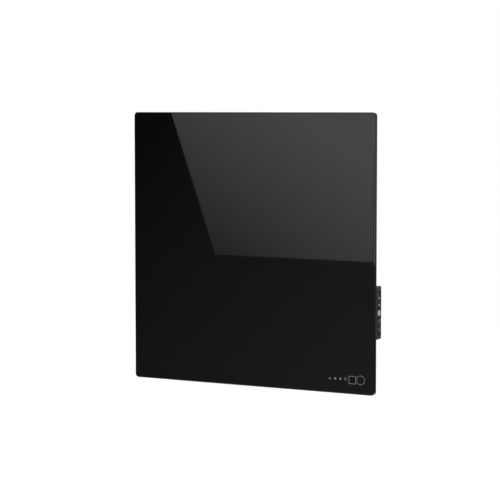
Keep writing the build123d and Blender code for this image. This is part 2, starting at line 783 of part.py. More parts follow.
def terminal_block(right, up, poles, mouth):
    """A row of screw terminals on the main board, placed as board_block's are. Its wire holes open
    down or to the side, and a screw well stands over each."""
    width, height = terminal_pole * poles, terminal_depth
    middle_x, middle_z = board_mid_x + right * board_width, board_mid_z + up
    steps = [(place - (poles - 1) / 2) * terminal_pole for place in range(poles)]
    if mouth == "down":
        wells = [(middle_x + step, middle_z) for step in steps]
        wire_plane = Plane.XY.offset(middle_z - height / 2)
        wires = [(x, terminal_wire_rise - board_face) for x, _ in wells]
        reach = terminal_wire_depth
    else:
        width, height = height, width
        wells = [(middle_x, middle_z + step) for step in steps]
        wire_plane = Plane.YZ.offset(middle_x + width / 2)
        wires = [(terminal_wire_rise - board_face, z) for _, z in wells]
        reach = -terminal_wire_depth
    with BuildPart() as block:
        with BuildSketch(Plane.XZ.offset(board_face - terminal_tall)):
            with Locations((middle_x, middle_z)):
                Rectangle(width, height)
        extrude(amount=terminal_tall)
        chamfer(block.edges().group_by(Axis.Y)[-1], length=0.8)
        with BuildSketch(Plane.XZ.offset(board_face - terminal_tall)):
            with Locations(*wells):
                Circle(terminal_well_r)
        extrude(amount=terminal_well_depth, mode=Mode.SUBTRACT)
        with BuildSketch(wire_plane):
            with Locations(*wires):
                Circle(terminal_wire_r)
        extrude(amount=reach, mode=Mode.SUBTRACT)
    return block


keep(terminal_block(-0.04, -31.0, 3, "down"), "mains_terminals")
keep(terminal_block(0.4, -22.6, 2, "side"), "film_terminals")

# ---- inlet gland in the box's floor: body, rubber seal, cap and the nut inside ----
gland_seal_start = gland_hex_length - gland_cap_wall / 3
gland_cap_start = box_bottom_z - gland_hex_length - gland_fit
with BuildPart() as gland_body:
    with BuildSketch(Plane.XY.offset(box_bottom_z)):
        with Locations((gland_x, -control_out)):
            RegularPolygon(gland_hex_r, 6)
    extrude(amount=-gland_hex_length)
    chamfer(gland_body.edges().group_by(Axis.Z)[0], length=0.6)
    with BuildSketch(Plane.XY.offset(box_bottom_z - gland_hex_length)):
        with Locations((gland_x, -control_out)):
            Circle(gland_neck_r + gland_fit)
    extrude(amount=-gland_neck_length)
    with BuildSketch(Plane.XY.offset(box_bottom_z)):
        with Locations((gland_x, -control_out)):
            Circle(gland_thread_r)
    extrude(amount=gland_thread_length)
    with BuildSketch(Plane.XY.offset(box_bottom_z - gland_hex_length - gland_neck_length)):
        with Locations((gland_x, -control_out)):
            Circle(gland_wire_r)
    extrude(amount=gland_hex_length + gland_neck_length + gland_thread_length, mode=Mode.SUBTRACT)
    with BuildSketch(Plane.XY.offset(box_bottom_z - gland_seal_start)):
        with Locations((gland_x, -control_out)):
            Circle(gland_seal_r + gland_fit)
    extrude(amount=-(gland_hex_length + gland_neck_length - gland_seal_start), mode=Mode.SUBTRACT)
keep(gland_body, "gland_body")

with BuildPart() as gland_seal:
    with BuildSketch(Plane.XY.offset(box_bottom_z - gland_seal_start)):
        with Locations((gland_x, -control_out)):
            Circle(gland_seal_r)
            Circle(gland_cord_r, mode=Mode.SUBTRACT)
    extrude(amount=-gland_seal_length)
keep(gland_seal, "gland_seal")

gland_seal_end = box_bottom_z - gland_seal_start - gland_seal_length
gland_neck_end = box_bottom_z - gland_hex_length - gland_neck_length
with BuildPart() as gland_cap:
    with BuildSketch(Plane.XY.offset(gland_cap_start)):
        with Locations((gland_x, -control_out)):
            Circle(gland_cap_r)
    extrude(amount=-gland_cap_length)
    fillet(gland_cap.edges().group_by(Axis.Z)[0], radius=gland_cap_wall)
    with BuildSketch(Plane.XY.offset(gland_cap_start)):
        with Locations((gland_x, -control_out)):
            Circle(gland_neck_r + 2 * gland_fit)
    extrude(amount=gland_neck_end - gland_fit - gland_cap_start, mode=Mode.SUBTRACT)
    with BuildSketch(Plane.XY.offset(gland_cap_start)):
        with Locations((gland_x, -control_out)):
            Circle(gland_seal_r + gland_fit)
    extrude(amount=gland_seal_end - gland_fit - gland_cap_start, mode=Mode.SUBTRACT)
    with BuildSketch(Plane.XY.offset(gland_cap_start)):
        with Locations((gland_x, -control_out)):
            Circle(gland_cap_mouth_r)
    extrude(amount=-gland_cap_length, mode=Mode.SUBTRACT)
keep(gland_cap, "gland_cap")

with BuildPart() as gland_nut:
    with BuildSketch(Plane.XY.offset(box_bottom_z + box_wall)):
        with Locations((gland_x, -control_out)):
            RegularPolygon(gland_nut_r, 6)
            Circle(gland_thread_r + gland_fit, mode=Mode.SUBTRACT)
    extrude(amount=gland_nut_thick)
keep(gland_nut, "gland_nut")

# ---- on the tray inside the box: lead grommet, thermal cut-out and earth stud ----
with BuildPart() as lead_grommet:
    for start, thick, radius in (
        (wall_gap - grommet_flange, grommet_flange, grommet_r),
        (wall_gap, sheet, grommet_hole_r - grommet_gap),
        (tray_floor, grommet_flange, grommet_r),
    ):
        with BuildSketch(Plane.XZ.offset(start)):
            with Locations((inner_x, grommet_z)):
                Circle(radius)
                Circle(grommet_bore_r, mode=Mode.SUBTRACT)
        extrude(amount=thick)
keep(lead_grommet, "lead_grommet")

cutout_body_out = wall_gap - cutout_cup_height - cutout_body_height
with BuildPart() as thermal_cutout:
    with BuildSketch(Plane.XZ.offset(wall_gap - cutout_cup_height)):
        with Locations((inner_x, cutout_z)):
            Circle(cutout_cup_r)
    extrude(amount=cutout_cup_height)
    with BuildSketch(Plane.XZ.offset(cutout_body_out)):
        with Locations((inner_x, cutout_z)):
            Circle(cutout_body_r)
    extrude(amount=cutout_body_height)
    with BuildSketch(Plane.XZ.offset(cutout_body_out - cutout_tab_height)):
        with Locations((inner_x, cutout_z)):
            with GridLocations(0, cutout_tab_pitch, 1, 2):
                Rectangle(cutout_tab_width, tab_thick)
    extrude(amount=cutout_tab_height)
keep(thermal_cutout, "thermal_cutout")

with BuildPart() as earth_stud:
    with BuildSketch(Plane.XZ.offset(wall_gap - earth_stud_length)):
        with Locations((inner_x, earth_z)):
            Circle(earth_stud_r)
    extrude(amount=earth_stud_length)
    chamfer(earth_stud.edges().group_by(Axis.Y)[-1], length=earth_stud_r / 4)
keep(earth_stud, "earth_stud")

with BuildPart() as earth_washer:
    with BuildSketch(Plane.XZ.offset(wall_gap - earth_washer_thick)):
        with Locations((inner_x, earth_z)):
            Circle(earth_washer_r)
            Circle(earth_stud_r + earth_fit, mode=Mode.SUBTRACT)
    extrude(amount=earth_washer_thick)
keep(earth_washer, "earth_washer")

with BuildPart() as earth_nut:
    with BuildSketch(Plane.XZ.offset(wall_gap - earth_washer_thick - earth_nut_thick)):
        with Locations((inner_x, earth_z)):
            RegularPolygon(earth_nut_r, 6)
            Circle(earth_stud_r + earth_fit, mode=Mode.SUBTRACT)
    extrude(amount=earth_nut_thick)
keep(earth_nut, "earth_nut")

os.makedirs("parts", exist_ok=True)
for piece in pieces:
    print(piece.label, len(piece.solids()), round(piece.volume), piece.is_valid)
    export_step(piece, f"parts/{piece.label}.step")
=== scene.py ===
import math

import bmesh
import bpy
from mathutils import Matrix, Vector
from mathutils.bvhtree import BVHTree


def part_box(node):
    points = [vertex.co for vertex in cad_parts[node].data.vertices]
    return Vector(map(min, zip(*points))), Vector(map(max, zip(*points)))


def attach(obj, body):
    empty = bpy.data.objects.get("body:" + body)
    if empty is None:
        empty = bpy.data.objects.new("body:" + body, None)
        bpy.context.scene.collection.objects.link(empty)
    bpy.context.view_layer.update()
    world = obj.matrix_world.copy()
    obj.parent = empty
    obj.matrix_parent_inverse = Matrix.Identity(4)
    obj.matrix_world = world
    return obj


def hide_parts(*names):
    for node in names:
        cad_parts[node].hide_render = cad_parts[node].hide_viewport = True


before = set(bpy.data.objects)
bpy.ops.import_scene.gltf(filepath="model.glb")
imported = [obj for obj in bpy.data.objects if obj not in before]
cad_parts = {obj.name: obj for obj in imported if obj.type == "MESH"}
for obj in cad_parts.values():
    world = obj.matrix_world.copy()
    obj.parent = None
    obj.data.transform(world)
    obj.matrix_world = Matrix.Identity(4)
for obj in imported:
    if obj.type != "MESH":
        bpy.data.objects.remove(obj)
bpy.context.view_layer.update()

MM = 0.001


# ---------------------------------------------------------------- camera
# The camera stands right of the heater and a little above its middle, as in the photograph.
CAMERA_PLACE = Vector((2.05696, -3.69505, 0.31129))
CAMERA_TARGET = Vector((-0.00127, -0.037, -0.00019))
CAMERA_ROLL = math.radians(-0.018)
CAMERA_LENS = 138.764

glass_low, glass_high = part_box("front_glass")
GLASS_FRONT = glass_low.y
SIDE_FACE = glass_high.x


def aim(obj, place, target, roll=0.0):
    """Stands obj at place with its -Z axis towards target and its +Y axis up."""
    turn = (target - place).to_track_quat("-Z", "Y").to_matrix().to_4x4()
    obj.matrix_world = Matrix.Translation(place) @ turn @ Matrix.Rotation(roll, 4, "Z")


camera = bpy.data.objects.new("camera", bpy.data.cameras.new("camera"))
bpy.context.scene.collection.objects.link(camera)
camera.data.lens = CAMERA_LENS
camera.data.sensor_width = 36.0
camera.data.clip_start = 0.05
camera.data.clip_end = 60.0
aim(camera, CAMERA_PLACE, CAMERA_TARGET, CAMERA_ROLL)
bpy.context.scene.camera = camera
bpy.context.scene.view_settings.view_transform = "Standard"


# ---------------------------------------------------------------- small helpers
def linear(hex_colour):
    """An sRGB hex colour as linear red, green, blue and alpha."""
    channels = [int(hex_colour[i : i + 2], 16) / 255 for i in (1, 3, 5)]
    return [c / 12.92 if c <= 0.04045 else ((c + 0.055) / 1.055) ** 2.4 for c in channels] + [1.0]


def add_node(tree, kind, inputs=None, **settings):
    """Adds a node, sets its properties and sets or links its inputs."""
    made = tree.nodes.new(kind)
    for name, value in settings.items():
        setattr(made, name, value)
    for name, value in (inputs or {}).items():
        if isinstance(value, bpy.types.NodeSocket):
            tree.links.new(value, made.inputs[name])
        else:
            made.inputs[name].default_value = value
    return made


def finish_material(name, inputs):
    """A new material whose Principled shader has these inputs, and the tree for what feeds it."""
    material = bpy.data.materials.new(name)
    material.use_nodes = True
    tree = material.node_tree
    shader = next(n for n in tree.nodes if n.type == "BSDF_PRINCIPLED")
    for key, value in inputs.items():
        shader.inputs[key].default_value = value
    return material, tree, shader


def new_object(name, mesh):
    """An object of this mesh, in the scene."""
    obj = bpy.data.objects.new(name, mesh)
    bpy.context.scene.collection.objects.link(obj)
    return obj


def mesh_piece(name, build, material, body, smooth_angle=35.0):
    """A piece whose mesh build(bm) makes in the row frame; it rides on body."""
    mesh = bpy.data.meshes.new(name)
    bm = bmesh.new()
    build(bm)
    bmesh.ops.recalc_face_normals(bm, faces=bm.faces)
    bm.to_mesh(mesh)
    bm.free()
    mesh.polygons.foreach_set("use_smooth", [True] * len(mesh.polygons))
    mesh.set_sharp_from_angle(angle=math.radians(smooth_angle))
    mesh.materials.append(material)
    obj = new_object(name, mesh)
    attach(obj, body)
    return obj


# ---------------------------------------------------------------- light, floor and reflections
FLOOR_Z = -1.6
SOFT_FILL = 0.45              # strength of the world's light on matt surfaces
FLOOR_GLOW = 0.62             # what the floor gives besides the light that it scatters
world = bpy.data.worlds.new("studio")
bpy.context.scene.world = world
world.use_nodes = True
world_tree = world.node_tree
world_tree.nodes.clear()


def either_ray(tree, *kinds):
    """1 for rays of any of these kinds, by the names of the Light Path node's outputs."""
    ray = add_node(tree, "ShaderNodeLightPath")
    seen = ray.outputs[kinds[0]]
    for kind in kinds[1:]:
        both = {0: seen, 1: ray.outputs[kind]}
        seen = add_node(tree, "ShaderNodeMath", both, operation="MAXIMUM").outputs[0]
    return seen


def background(strength):
    """An even white world of this strength."""
    white = {"Color": linear("#ffffff"), "Strength": strength}
    return add_node(world_tree, "ShaderNodeBackground", white).outputs[0]


seen = either_ray(world_tree, "Is Camera Ray", "Is Glossy Ray", "Is Transmission Ray")
levels = {0: seen, 1: background(SOFT_FILL), 2: background(1.0)}
backdrop = add_node(world_tree, "ShaderNodeMixShader", levels)
add_node(world_tree, "ShaderNodeOutputWorld", {"Surface": backdrop.outputs[0]})


def stage_sheet(name, corners, material, gloss_only=True):
    """A flat sheet of the studio, given by its corners. All but the floor show only in gloss."""
    mesh = bpy.data.meshes.new(name)
    mesh.from_pydata([tuple(c) for c in corners], [], [tuple(range(len(corners)))])
    mesh.materials.append(material)
    sheet = new_object(name, mesh)
    if gloss_only:
        sheet.visible_camera = False
        sheet.visible_diffuse = False
        sheet.visible_shadow = False


def glowing(name, low, high, axis_from, axis_to):
    """A sheet's glow, from low to high between two places along a line."""
    material = bpy.data.materials.new(name)
    material.use_nodes = True
    tree = material.node_tree
    tree.nodes.clear()
    where = add_node(tree, "ShaderNodeTexCoord").outputs["Object"]
    reach = axis_to - axis_from
    from_start = {0: where, 1: axis_from}
    offset = add_node(tree, "ShaderNodeVectorMath", from_start, operation="SUBTRACT")
    along_axis = {0: offset.outputs[0], 1: reach / reach.length_squared}
    share = add_node(tree, "ShaderNodeVectorMath", along_axis, operation="DOT_PRODUCT")
    between = {"Value": share.outputs["Value"], "To Min": low, "To Max": high}
    level = add_node(tree, "ShaderNodeMapRange", between)
    glow = add_node(tree, "ShaderNodeEmission", {"Strength": level.outputs[0]})
    add_node(tree, "ShaderNodeOutputMaterial", {"Surface": glow.outputs[0]})
    return material


def even_glow(name, corners, level):
    """A stage sheet with the same glow all over."""
    stage_sheet(name, corners, glowing(name + "_glow", level, level, Vector(), Vector((0, 0, 1))))


def reflected(x, z, distance):
    """The studio point on a plane that far in front of the glass that the camera sees mirrored at
    (x, z) on the glass, both in metres in the row frame."""
    place = Vector((x, GLASS_FRONT, z))
    onward = (place - CAMERA_PLACE) * distance / (GLASS_FRONT - CAMERA_PLACE.y)
    return Vector((x + onward.x, GLASS_FRONT - distance, z + onward.z))


def reflected_in_side(y, z, distance):
    """The same for the right-hand side faces: a plane that far right of the heater's side."""
    place = Vector((SIDE_FACE, y, z))
    onward = (place - CAMERA_PLACE) * distance / (CAMERA_PLACE.x - SIDE_FACE)
    return Vector((SIDE_FACE + distance, y + onward.y, z + onward.z))


ROUND_EDGE = -0.0205          # height on the heater where its right-hand round darkens
EDGE_STEPS = 8


def mirrored_in_round(x, y):
    """The height at which the round mirrors its point at ROUND_EDGE over the place (x, y)."""
    reach = math.hypot(x - SIDE_FACE, y - GLASS_FRONT)
    seen_from = math.hypot(CAMERA_PLACE.x - SIDE_FACE, CAMERA_PLACE.y - GLASS_FRONT)
    return ROUND_EDGE + (ROUND_EDGE - CAMERA_PLACE.z) * reach / seen_from


def mirrored_edge(start, end):
    """Corners over a row of places from start to end, both as (x, y), at that height."""
    shares = [step / EDGE_STEPS for step in range(EDGE_STEPS + 1)]
    places = [Vector(start).lerp(Vector(end), share) for share in shares]
    return [(place.x, place.y, mirrored_in_round(place.x, place.y)) for place in places]


# In the glass the camera sees a large soft light above a darker room. Its lower edge lies just
# above the middle of the glass and its left edge slants. Beyond the glass, where only the round
# mirrors it, the lower edge follows the round, so that the round darkens at one height.
ROOM_DISTANCE = 6.9
LIGHT_DISTANCE = 6.6
room_outline = ((-0.42, -0.37), (1.5, -0.37), (1.5, 0.75), (-0.42, 0.75))
room_from, room_to = reflected(-0.30, 0.30, ROOM_DISTANCE), reflected(0.28, -0.28, ROOM_DISTANCE)
stage_sheet(
    "room_beyond",
    [reflected(x, z, ROOM_DISTANCE) for x, z in room_outline],
    glowing("room_glow", 0.025, 0.235, room_from, room_to),
)
light_outline = [(1.5, 0.75), (-0.3405, 0.75), (-0.2021, 0.298)]
light_outline += [(-0.146, 0.144), (-0.0894, -0.0133), (0.298, -0.0147)]
light_corners = [reflected(x, z, LIGHT_DISTANCE) for x, z in light_outline]
light_corners += mirrored_edge(light_corners[-1].xy, light_corners[0].xy)[1:]
light_from = reflected(-0.084, -0.010, LIGHT_DISTANCE)
light_to = reflected(0.112, 0.303, LIGHT_DISTANCE)
light_glow = glowing("soft_light_glow", 0.356, 1.33, light_from, light_to)
stage_sheet("soft_light_sheet", light_corners, light_glow)

# The heater's right-hand side mirrors the room behind on the right: dim low down, brighter above.
SIDE_DISTANCE = 3.2
side_outline = ((-2.25, -0.8), (12.0, -0.8), (12.0, 3.0), (-2.25, 3.0))
side_from, side_to = (reflected_in_side(0, height, SIDE_DISTANCE) for height in (-0.03, -0.005))
stage_sheet(
    "room_beside",
    [reflected_in_side(y, z, SIDE_DISTANCE) for y, z in side_outline],
    glowing("room_beside_glow", 0.04, 0.30, side_from, side_to),
)

# Dark drapes stand on the left, straight ahead and far behind. Each row gives the ends of the
# drape's run over the floor, its lowest and highest edge, and its level.
AHEAD_Y = -7.1
CORNER = (6.3, AHEAD_Y)       # where the window ahead meets the one at the side
DRAPES = (
    ("drape_left", (-5.0, 9.5), (-5.0, AHEAD_Y), -2.5, 5.0, 0.03),
    ("drape_ahead", (-5.0, AHEAD_Y), (0.4, AHEAD_Y), FLOOR_Z, 5.0, 0.06),
    ("drape_behind", (4.0, 16.0), (-5.5, 11.0), FLOOR_Z, 3.0, 0.25),
)
for drape_name, start, end, low, high, level in DRAPES:
    even_glow(drape_name, [(*start, low), (*end, low), (*end, high), (*start, high)], level)

# A bright window stands on the right, above a dim drape. The round mirrors where they meet.
WINDOW_TOP = 2.4
for side, start, end in (("ahead", (0.4, AHEAD_Y), CORNER), ("side", CORNER, (6.3, 0.9))):
    foot = mirrored_edge(start, end)
    even_glow("window_" + side, foot + [(*end, WINDOW_TOP), (*start, WINDOW_TOP)], 1.7)
    even_glow("drape_low_" + side, foot + [(*end, FLOOR_Z), (*start, FLOOR_Z)], 0.2)

# A flag ahead, dark low down and paler towards its top, hides the light from the start of the
# round. It draws a thin dark line there beside the lit part of the glass.
FLAG_START, FLAG_END, FLAG_TOP, FLAG_DARK = (-2.8125, -6.5), (0.3, -6.5), 0.086, -0.238
flag_corners = mirrored_edge(FLAG_START, FLAG_END)
flag_corners += [(*FLAG_END, FLAG_TOP), (*FLAG_START, FLAG_TOP)]
flag_from, flag_to = Vector((0, 0, FLAG_DARK)), Vector((0, 0, FLAG_TOP))
stage_sheet("flag_ahead", flag_corners, glowing("flag_ahead_glow", 0.15, 1.0, flag_from, flag_to))

# A lamp far behind on the right shows as a bright stroke in the rocker's hollow.
near_end, far_end, LAMP_LOW, LAMP_HIGH = (2.2, 5.6), (3.4, 7.6), 0.33, 0.62
lamp_corners = [(*near_end, LAMP_LOW), (*far_end, LAMP_LOW)]
lamp_corners += [(*far_end, LAMP_HIGH), (*near_end, LAMP_HIGH)]
even_glow("lamp_beyond", lamp_corners, 4.0)


def on_level(height, left, near, right, far):
    """The corners of an upright oblong that lies at a height."""
    return [(left, near, height), (right, near, height), (right, far, height), (left, far, height)]


# A dark mat, paler farther back, keeps the floor's glare out of the gloss low on the right.
MAT_Z = FLOOR_Z + 0.02
even_glow("dark_mat", on_level(MAT_Z, 0.6, -0.8, 11, 2.4), 0.05)
even_glow("grey_mat", on_level(MAT_Z, 0.6, 2.4, 11, 14), 0.4)

# Smooth white floor paint, rolled on: pale and matt, so that it keeps only a soft shadow.
FLOOR_REACH = 12
pale_floor, floor_tree, floor_shader = finish_material(
    "pale_floor_paint", {"Base Color": linear("#f2f2f0"), "Roughness": 0.6}
)
glow = add_node(
    floor_tree, "ShaderNodeEmission", {"Color": linear("#ffffff"), "Strength": FLOOR_GLOW}
)
scattered = floor_shader.outputs[0]
lit = add_node(floor_tree, "ShaderNodeAddShader", {0: scattered, 1: glow.outputs[0]})
floor_seen = either_ray(floor_tree, "Is Camera Ray", "Is Glossy Ray")
floor_mix = add_node(
    floor_tree, "ShaderNodeMixShader", {0: floor_seen, 1: scattered, 2: lit.outputs[0]}
)
floor_out = next(n for n in floor_tree.nodes if n.type == "OUTPUT_MATERIAL")
floor_tree.links.new(floor_mix.outputs[0], floor_out.inputs["Surface"])
whole_floor = on_level(FLOOR_Z, -FLOOR_REACH, -FLOOR_REACH, FLOOR_REACH, FLOOR_REACH)
stage_sheet("floor", whole_floor, pale_floor, gloss_only=False)


def soft_lamp(name, place, target, size, power):
    """A square lamp that lights matt surfaces and isn't mirrored in gloss."""
    lamp = bpy.data.objects.new(name, bpy.data.lights.new(name, "AREA"))
    bpy.context.scene.collection.objects.link(lamp)
    lamp.data.shape = "RECTANGLE"
    lamp.data.size = size
    lamp.data.size_y = size
    lamp.data.energy = power
    lamp.visible_camera = False
    lamp.visible_glossy = False
    aim(lamp, Vector(place), Vector(target))


soft_lamp("key_lamp", (-2.2, -3.6, 3.2), (0, 0, 0), 2.4, 120.0)
soft_lamp("side_lamp", (4.2, -0.8, 1.8), (0.3, 0, -0.1), 2.0, 25.0)
soft_lamp("back_lamp", (-1.5, 4.0, 2.6), (0, 0, 0), 2.4, 90.0)


# ---------------------------------------------------------------- materials
def per(size_mm):
    """The Scale of a pattern whose grains or lines are size_mm across, on metres."""
    return 1000.0 / size_mm


def patterned(name, inputs):
    """finish_material, and the output that places a pattern on the object, in metres."""
    material, tree, shader = finish_material(name, inputs)
    return material, tree, shader, add_node(tree, "ShaderNodeTexCoord").outputs["Object"]


def noise(tree, where, size_mm, detail=2.0, roughness=0.5, distortion=0.0):
    """A cloudy pattern whose largest lumps are about size_mm across."""
    inputs = {"Vector": where, "Scale": per(size_mm), "Detail": detail}
    inputs.update({"Roughness": roughness, "Distortion": distortion})
    return add_node(tree, "ShaderNodeTexNoise", inputs).outputs["Fac"]


def surface_bump(tree, shader, height, depth_mm):
    """Raises and sinks the surface by depth_mm where the height pattern says so."""
    inputs = {"Height": height, "Distance": depth_mm * MM, "Strength": 1.0}
    tree.links.new(add_node(tree, "ShaderNodeBump", inputs).outputs[0], shader.inputs["Normal"])


def vary(tree, shader, pattern, low, high):
    """Drives the shader's roughness between low and high by a pattern."""
    inputs = {"Value": pattern, "From Min": 0.3, "From Max": 0.7, "To Min": low, "To Max": high}
    spread = add_node(tree, "ShaderNodeMapRange", inputs)
    tree.links.new(spread.outputs[0], shader.inputs["Roughness"])


def tint(tree, shader, pattern, dark, light, low=0.35, high=0.65):
    """Colours the surface from dark to light by a pattern."""
    ramp = add_node(tree, "ShaderNodeValToRGB", {"Fac": pattern})
    ramp.color_ramp.elements[0].position = low
    ramp.color_ramp.elements[0].color = linear(dark)
    ramp.color_ramp.elements[1].position = high
    ramp.color_ramp.elements[1].color = linear(light)
    tree.links.new(ramp.outputs["Color"], shader.inputs["Base Color"])


FLOW_CLOUD_MM = 14.0


def moulded_plastic(name, dark, light, roughness, grain_mm, grain_depth_mm, ior=1.53):
    """Injection-moulded plastic: an even colour with a faint flow cloud, and the tool's grain."""
    material, tree, shader, where = patterned(name, {"IOR": ior, "Roughness": roughness})
    tint(tree, shader, noise(tree, where, FLOW_CLOUD_MM, 3.0), dark, light)
    grain = noise(tree, where, grain_mm, 4.0, 0.6)
    vary(tree, shader, grain, roughness - 0.06, roughness + 0.08)
    surface_bump(tree, shader, grain, grain_depth_mm)
    return material


EVEN_WAY = (1.0, 1.0, 1.0)    # no way, so that the lines become grains


def worked_metal(
    name, dark, light, roughness, line_mm, line_way, line_depth_mm, cloud_mm=18.0, spread=0.09
):
    """Bare or plated metal: clouds in the colour, and fine lines of rolling, drawing or turning.
    The lines run along the axes whose number in line_way is small."""
    material, tree, shader, where = patterned(name, {"Metallic": 1.0, "Roughness": roughness})
    tint(tree, shader, noise(tree, where, cloud_mm, 5.0, 0.55), dark, light)
    pulled = {0: where, 1: line_way}
    pulled = add_node(tree, "ShaderNodeVectorMath", pulled, operation="MULTIPLY")
    lines = noise(tree, pulled.outputs[0], line_mm)
    vary(tree, shader, lines, roughness - spread, roughness + spread)
    surface_bump(tree, shader, lines, line_depth_mm)
    return material


# Float glass, back-painted black and toughened, its edges ground and polished. It gives a deep
# black with a mirror-smooth gloss, and a green-black rim where the edge is seen.
glass, glass_tree, glass_shader, glass_where = patterned(
    "back_painted_float_glass", {"IOR": 1.52, "Roughness": 0.015}
)
glass_axes = add_node(glass_tree, "ShaderNodeSeparateXYZ", {"Vector": glass_where})
across, inward, upward = (glass_axes.outputs[axis] for axis in "XYZ")


def number(kind, first, second=0.0):
    """One step of arithmetic in the glass's tree."""
    return add_node(glass_tree, "ShaderNodeMath", {0: first, 1: second}, operation=kind).outputs[0]


def away(value, middle):
    """How far value lies from middle, either way."""
    return number("ABSOLUTE", number("SUBTRACT", value, middle))


def off_centre(x, z):
    """How far a place on the glass lies from (x, z)."""
    away_x, away_z = number("SUBTRACT", across, x), number("SUBTRACT", upward, z)
    squares = number("MULTIPLY", away_x, away_x), number("MULTIPLY", away_z, away_z)
    return number("SQRT", number("ADD", *squares))


def mixed(share, first, second):
    """A colour in the glass's tree that goes from first to second."""
    inputs = {0: share, 6: first, 7: second}
    return add_node(glass_tree, "ShaderNodeMix", inputs, data_type="RGBA").outputs[2]


def drawn_line(reach, size, half_line):
    """1 on a line that runs size millimetres out, for a place that lies reach out."""
    return number("LESS_THAN", away(reach, size * MM), half_line * MM)


# Printed in pale ceramic ink low on the right, in plain generic shapes: three dots, two open
# rings and an open square. Each row gives x and z in metres in the row frame, then the radius or
# half the side, and half the line's width, in millimetres.
DOTS = ((0.1950, -0.2690, 1.9), (0.2081, -0.2685, 2.35), (0.2204, -0.2680, 2.35))
RINGS = ((0.2326, -0.2679, 2.5, 0.38), (0.2683, -0.2684, 9.4, 0.45))
SQUARE_X, SQUARE_Z, SQUARE_HALF, SQUARE_LINE = 0.2486, -0.2692, 8.0, 0.45
marks = [number("LESS_THAN", off_centre(x, z), size * MM) for x, z, size in DOTS]
marks += [drawn_line(off_centre(x, z), size, line) for x, z, size, line in RINGS]
square = number("MAXIMUM", away(across, SQUARE_X), away(upward, SQUARE_Z))
marks.append(drawn_line(square, SQUARE_HALF, SQUARE_LINE))
ink = marks[0]
for mark in marks[1:]:
    ink = number("MAXIMUM", ink, mark)
INK_SEEN_TO, RIM_WIDTH = 0.1 * MM, 0.8 * MM
ink = number("MULTIPLY", ink, number("LESS_THAN", inward, GLASS_FRONT + INK_SEEN_TO))
rim = number("MAXIMUM", number("ABSOLUTE", across), number("ABSOLUTE", upward))
rim = number("GREATER_THAN", rim, SIDE_FACE - RIM_WIDTH)
glass_colour = mixed(ink, mixed(rim, linear("#040404"), linear("#0a100e")), linear("#8a8d8f"))
glass_tree.links.new(glass_colour, glass_shader.inputs["Base Color"])
vary(glass_tree, glass_shader, noise(glass_tree, glass_where, 70.0, 3.0), 0.006, 0.018)

# Neutral-cure silicone, gunned as a bead: matt black, soft, and slightly uneven.
silicone = moulded_plastic("neutral_cure_silicone", "#0c0c0d", "#131314", 0.52, 3.0, 0.08, ior=1.41)

# Carbon ink printed in bands on polyester film and laminated: black bands with the brown film
# between them, under one even sheen.
carbon, carbon_tree, carbon_shader, carbon_where = patterned(
    "printed_carbon_film", {"IOR": 1.57, "Roughness": 0.35}
)
BAND_MM = 14.0
WAVE_RATE = 20.0              # radians that a wave pattern runs through in one unit, at Scale 1
bands = {"Vector": carbon_where, "Scale": per(BAND_MM) / WAVE_RATE * math.pi}
bands = add_node(carbon_tree, "ShaderNodeTexWave", bands, bands_direction="Z")
tint(carbon_tree, carbon_shader, bands.outputs["Fac"], "#3a3226", "#0b0b0c", 0.2, 0.3)

# Rolled copper foil: warm and bright, with lines from the rolls.
copper = worked_metal("rolled_copper_foil", "#b06a48", "#c98562", 0.3, 0.7, (1.0, 1.0, 0.03), 0.01)

# Pressed mineral fibre board: off-white and matt, with short fibres lying in all directions.
fibre, fibre_tree, fibre_shader, fibre_where = patterned(
    "pressed_mineral_fibre", {"IOR": 1.45, "Roughness": 0.9}
)
fibres = noise(fibre_tree, fibre_where, 2.5, 8.0, 0.7, 1.6)
tint(fibre_tree, fibre_shader, fibres, "#b9b1a0", "#d8d2c4")
surface_bump(fibre_tree, fibre_shader, fibres, 0.25)

# Steel sheet with a fine-texture powder coat, baked on: near-black and low in sheen, with a
# pebbled skin. Its real grain is 0.4 mm and is drawn at 1.1 mm so that it shows.
coat, coat_tree, coat_shader, coat_where = patterned(
    "black_powder_coat", {"IOR": 1.5, "Roughness": 0.5}
)
pebbles = {"Vector": coat_where, "Scale": per(1.1)}
pebbles = add_node(coat_tree, "ShaderNodeTexVoronoi", pebbles, feature="SMOOTH_F1")
drift = noise(coat_tree, coat_where, 45.0, 4.0)
speckle = noise(coat_tree, coat_where, 0.9)
shade = add_node(coat_tree, "ShaderNodeMix", {0: 0.45, 2: drift, 3: speckle})
tint(coat_tree, coat_shader, shade.outputs[0], "#151618", "#212225")
vary(coat_tree, coat_shader, drift, 0.44, 0.56)
surface_bump(coat_tree, coat_shader, pebbles.outputs["Distance"], 0.22)

# Cold-rolled steel, zinc plated and blue passivated: pale grey with a cool cast, clouded where
# the bath was uneven, with the mill's rolling lines under the plating.
zinc = worked_metal(
    "zinc_plated_steel", "#aeb3b8", "#c3c6c8", 0.34, 0.5, (0.03, 1.0, 1.0), 0.002, 30.0, 0.03
)

# Copper legs, tinned: pale, bright and a little uneven.
tinned = worked_metal(
    "tinned_copper", "#b4b5b4", "#cccccb", 0.3, 0.4, EVEN_WAY, 0.001, 3.0, 0.03
)

# Aluminium blind rivets: satin, a little scuffed by the setting tool.
rivet_metal = worked_metal(
    "set_aluminium_rivet", "#b4b6b8", "#cdcfd1", 0.36, 0.5, EVEN_WAY, 0.01, 4.0
)

# Moulded flame-retardant ABS with the fine texture of a spark-eroded tool: charcoal and matt.
# The real grain is 0.25 mm and is drawn at 0.7 mm so that it shows.
housing = moulded_plastic("spark_textured_abs", "#353535", "#3c3c3c", 0.5, 0.7, 0.1)

# The same ABS from a polished tool: black, with a clean gloss.
strip_gloss = moulded_plastic("polished_abs", "#1d1d1e", "#222223", 0.22, 5.0, 0.008)

